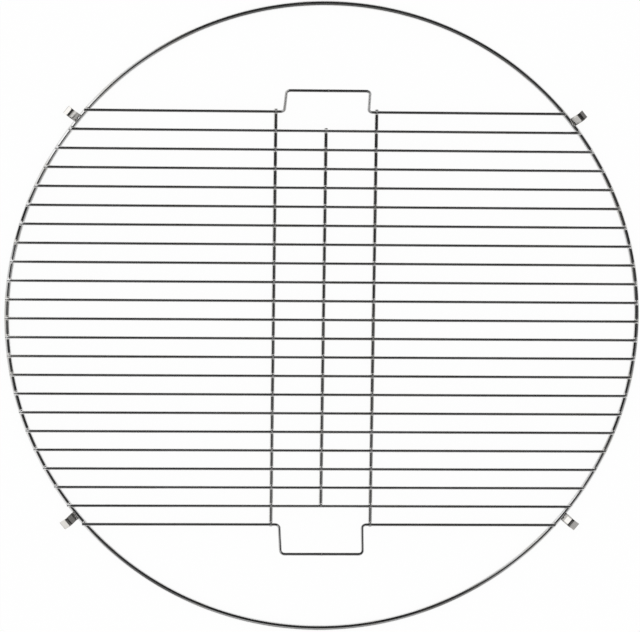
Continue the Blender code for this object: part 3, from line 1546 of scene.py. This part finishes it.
@dataclass
class Studio:
    """A pale floor in even, soft light, with dark cloth overhead that gives the plate its dark cores.

    Args:
        floor_size: Length of the floor's sides.
        floor_height: Its height.
        floor_colour: Its colour, where the grill's shadow falls on it.
        shadow_shown: How much of that shadow the camera sees.
        shadow_mirrored: How much of it the metal mirrors.
        overhead: Brightness of the cloth, as the metal mirrors it.
        horizon: Heights of a direction at which the cloth ends and the bright floor begins.
        banner: The banner overhead.
        panels: The soft panels all round.
        cards: The cards beside the grill.
    """

    floor_size: float = 12.0
    floor_height: float = -0.0002
    floor_colour: Colour = (0.90, 0.90, 0.90)
    shadow_shown: float = 0.06
    shadow_mirrored: float = 0.55
    overhead: float = 0.014
    horizon: tuple[float, float] = (math.sin(math.radians(7.5)), -0.02)
    banner: Banner = Banner()
    panels: tuple[SoftPanel, ...] = (
        SoftPanel(bearing=143, spread=12, feather=14, low=2, high=50, strength=0.60),
        SoftPanel(bearing=218, spread=16, feather=12, low=2, high=36, strength=0.60),
        SoftPanel(bearing=270, spread=26, feather=24, low=30, high=72, strength=0.14),
        SoftPanel(bearing=320, spread=18, feather=16, low=-6, high=62, strength=0.38),
        SoftPanel(bearing=30, spread=10, feather=14, low=2, high=34, strength=0.16),
    )
    cards: tuple[Card, ...] = (
        Card(bearing=146, reach=0.44, width=0.25, low=0.0, high=0.14, strength=1.20),
        Card(bearing=147, reach=0.60, width=0.20, low=0.20, high=0.75, strength=1.25),
        Card(bearing=183, reach=0.44, width=0.24, low=0.02, high=0.19, strength=0.75),
        Card(bearing=214, reach=0.44, width=0.24, low=0.0, high=0.15, strength=0.92),
        Card(bearing=317, reach=0.72, width=0.50, low=-0.04, high=0.115, strength=1.05),
        Card(bearing=268, reach=0.352, width=0.32, low=0.016, high=0.095, strength=0.62),
        Card(bearing=293, reach=0.46, width=0.26, low=0.0, high=0.10, strength=0.02),
        Card(bearing=84, reach=0.42, width=0.60, low=-0.02, high=0.30, strength=0.02),
    )

    def build(self) -> None:
        """Make the floor, the world and the cards."""
        self.build_floor()
        self.build_world()
        for card in self.cards:
            card.build()
        bpy.context.scene.view_settings.view_transform = "Standard"

    def build_floor(self) -> None:
        """Lay the floor just under the ring."""
        place = (0.0, 0.0, self.floor_height)
        Bench.clear()
        bpy.ops.mesh.primitive_plane_add(size=self.floor_size, location=place)
        floor = Bench.start("studio_floor")
        material = bpy.data.materials.new("studio_paper")
        material.use_nodes = True
        sheet = NodeSheet(material.node_tree)
        rays = sheet.add("ShaderNodeLightPath").outputs
        seen = sheet.math("MAXIMUM", rays["Is Camera Ray"], rays["Is Transmission Ray"])
        paper = sheet.add("ShaderNodeBsdfDiffuse", {"Color": (*self.floor_colour, 1.0)}).outputs[0]
        white = sheet.add("ShaderNodeEmission", {"Strength": 1.0}).outputs[0]
        seen = sheet.product(seen, 1.0 - self.shadow_shown)
        mirrored = sheet.product(rays["Is Glossy Ray"], 1.0 - self.shadow_mirrored)
        share = sheet.math("MAXIMUM", seen, mirrored)
        both = sheet.add("ShaderNodeMixShader", {0: share, 1: paper, 2: white})
        sheet.add("ShaderNodeOutputMaterial", {"Surface": both.outputs[0]})
        floor.data.materials.append(material)

    def build_world(self) -> None:
        """Light everything evenly, and let the metal mirror the dark cloth, the panels and the banner."""
        world = bpy.data.worlds.new("studio")
        world.use_nodes = True
        bpy.context.scene.world = world
        sheet = NodeSheet(world.node_tree)
        ray = sheet.add("ShaderNodeTexCoord").outputs["Generated"]
        height = sheet.add("ShaderNodeSeparateXYZ", {0: ray}).outputs["Z"]
        inputs = {0: ray, 1: (1.0, 1.0, 0.0)}
        flat = sheet.add("ShaderNodeVectorMath", inputs, operation="MULTIPLY").outputs[0]
        level = sheet.add("ShaderNodeVectorMath", {0: flat}, operation="NORMALIZE").outputs[0]
        mirrored = self.overhead
        for panel in self.panels:
            mirrored = sheet.math("ADD", mirrored, panel.glow(sheet, level, height))
        mirrored = sheet.math("ADD", mirrored, self.banner.glow(sheet, ray))
        below = sheet.step(height, *self.horizon)
        mirrored = sheet.math("MAXIMUM", mirrored, below, clamp=True)
        metal_sees = sheet.add("ShaderNodeLightPath").outputs["Is Glossy Ray"]
        dark = sheet.product(metal_sees, sheet.math("SUBTRACT", 1.0, mirrored))
        shade = sheet.math("SUBTRACT", 1.0, dark)
        light = sheet.add("ShaderNodeBackground", {"Color": shade, "Strength": 1.0})
        sheet.add("ShaderNodeOutputWorld", {"Surface": light.outputs[0]})


@dataclass
class PhotoCamera:
    """The camera of the photograph: high above the back edge and left of the middle.

    Args:
        place: Where it stands.
        aim: The point that it looks at.
        roll: Its turn about its own line of sight.
        focal_length: Its focal length, in millimetres.
        sensor_width: The width of its sensor, in millimetres.
        clip: The nearest and the farthest distance that it sees.
    """

    place: Vector
    aim: Vector
    roll: float = math.radians(0.82)
    focal_length: float = 202.81
    sensor_width: float = 36.0
    clip: tuple[float, float] = (0.1, 100.0)

    def build(self) -> None:
        """Make the camera and the scene's view from it."""
        data = bpy.data.cameras.new("photo_camera")
        data.lens = self.focal_length
        data.sensor_width = self.sensor_width
        data.sensor_fit = "HORIZONTAL"
        data.clip_start, data.clip_end = self.clip
        camera = bpy.data.objects.new("photo_camera", data)
        bpy.context.scene.collection.objects.link(camera)
        back = (self.place - self.aim).normalized()
        right = Vector((0.0, 1.0, 0.0)).cross(back).normalized()
        right = Matrix.Rotation(self.roll, 3, back) @ right
        axes = Matrix((right, back.cross(right), back)).transposed().to_4x4()
        axes.translation = self.place
        camera.matrix_world = axes
        bpy.context.scene.camera = camera


def main() -> None:
    """Build the camera, the grill and the studio, and report each piece of the grill."""
    logging.basicConfig(level=logging.INFO, format="%(message)s")
    place, aim = Vector((-0.2242, 0.5152, 3.5584)), Vector((-0.0032, 0.0030, 0.0))
    PhotoCamera(place, aim).build()
    sizes = GrillSizes.from_frame()
    for assembly in (OuterRing, CrossWires, HandleWires, Stringers, RimHooks, Welds):
        for piece in assembly(sizes).build():
            finish = piece.data.materials[0].name
            LOG.info("%s: %d faces, %s", piece.name, len(piece.data.polygons), finish)
    Studio().build()


if __name__ == "__main__":
    main()
